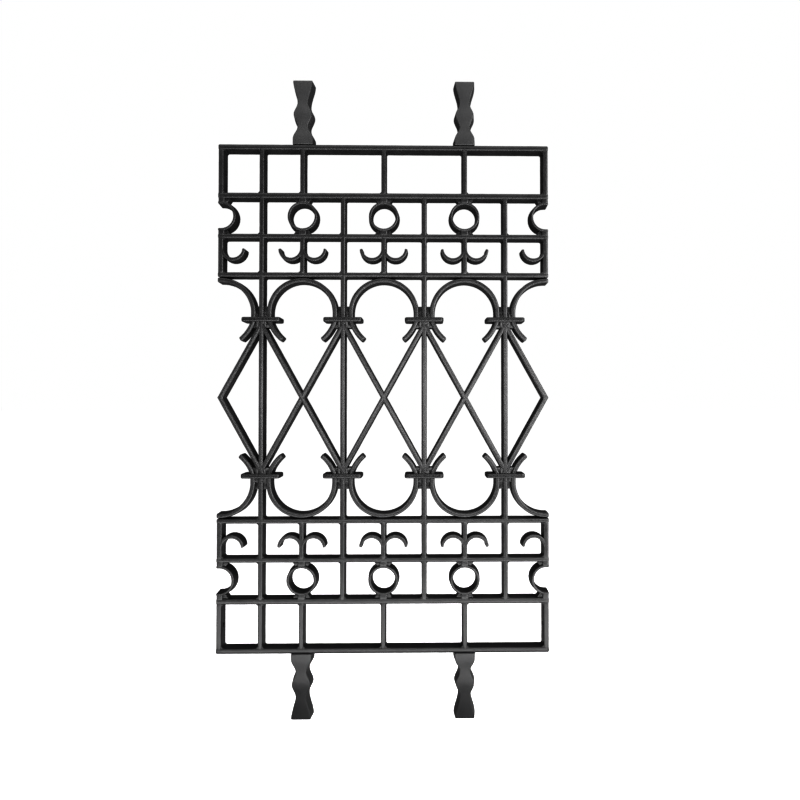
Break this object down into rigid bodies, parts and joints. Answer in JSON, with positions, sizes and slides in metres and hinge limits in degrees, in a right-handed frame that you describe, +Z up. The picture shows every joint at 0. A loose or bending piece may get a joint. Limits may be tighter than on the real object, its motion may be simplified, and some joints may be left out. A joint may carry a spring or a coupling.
{
  "type": "cast iron balcony railing panel",
  "caption": "Narrow iron balcony railing panel with rings, hooks, arches, collars and crossed diagonals between straight rails, with shaped feet and handrail tangs.",
  "frame": {"origin": "centre of the end face of the left foot", "axes": "+X along the railing towards its right end, +Z up, street side facing -Y"},
  "size_m": [0.499, 0.036, 0.96],
  "materials": {
    "cast_iron": "satin black paint over a fine cast surface, a little lighter on worn edges"
  },
  "bodies": {
    "root": {"top_rail": "cast_iron", "upper_ring_rail": "cast_iron", "upper_hook_rail": "cast_iron", "upper_arch_rail": "cast_iron", "lower_arch_rail": "cast_iron", "lower_hook_rail": "cast_iron", "lower_ring_rail": "cast_iron", "bottom_rail": "cast_iron", "left_upright": "cast_iron", "centre_left_upright": "cast_iron", "centre_right_upright": "cast_iron", "right_upright": "cast_iron", "upper_collars": "cast_iron", "lower_collars": "cast_iron", "upper_left_half_arch": "cast_iron", "upper_left_arch": "cast_iron", "upper_centre_arch": "cast_iron", "upper_right_arch": "cast_iron", "upper_right_half_arch": "cast_iron", "lower_left_half_arch": "cast_iron", "lower_left_arch": "cast_iron", "lower_centre_arch": "cast_iron", "lower_right_arch": "cast_iron", "lower_right_half_arch": "cast_iron", "left_bay_front_diagonal": "cast_iron", "left_bay_back_diagonal": "cast_iron", "centre_bay_front_diagonal": "cast_iron", "centre_bay_back_diagonal": "cast_iron", "right_bay_front_diagonal": "cast_iron", "right_bay_back_diagonal": "cast_iron", "left_chevron": "cast_iron", "right_chevron": "cast_iron", "upper_rings": "cast_iron", "lower_rings": "cast_iron", "upper_hooks": "cast_iron", "lower_hooks": "cast_iron", "upper_struts": "cast_iron", "lower_struts": "cast_iron", "upper_left_end_bar": "cast_iron", "upper_right_end_bar": "cast_iron", "lower_left_end_bar": "cast_iron", "lower_right_end_bar": "cast_iron", "handrail_tangs": "cast_iron", "left_foot": "cast_iron", "right_foot": "cast_iron"}
  },
  "joints": []
}
